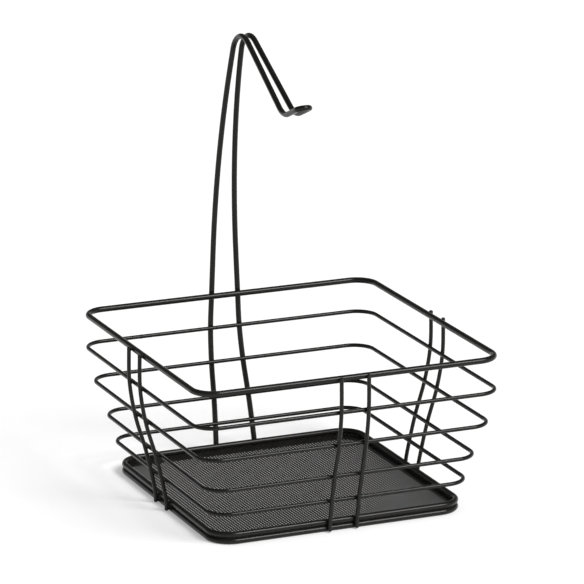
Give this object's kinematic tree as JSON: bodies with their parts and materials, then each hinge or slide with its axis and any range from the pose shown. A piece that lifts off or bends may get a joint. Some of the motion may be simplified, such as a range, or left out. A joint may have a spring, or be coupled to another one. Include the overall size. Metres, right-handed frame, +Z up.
{
  "type": "wire fruit basket with hook",
  "caption": "Square open basket of black coated wire with drawn-in sides and a mesh floor; a bent-wire post at the back arches forward into a hook over the basket.",
  "frame": {"origin": "on the table, under the middle of the basket", "axes": "+X to the basket's right, +Y to the back where the hook's post stands, +Z up"},
  "size_m": [0.288, 0.2893, 0.3879],
  "materials": {
    "wire_coat": "satin black powder coat",
    "mesh_coat": "satin black powder coat"
  },
  "bodies": {
    "root": {"rim": "wire_coat", "side_ring_1": "wire_coat", "side_ring_2": "wire_coat", "side_ring_3": "wire_coat", "side_ring_4": "wire_coat", "base_ring_upper": "wire_coat", "base_ring_lower": "wire_coat", "mesh_floor": "mesh_coat", "front_rib_left": "wire_coat", "front_rib_right": "wire_coat", "left_rib_front": "wire_coat", "left_rib_back": "wire_coat", "right_rib_front": "wire_coat", "right_rib_back": "wire_coat", "hanger": "wire_coat"}
  },
  "joints": []
}
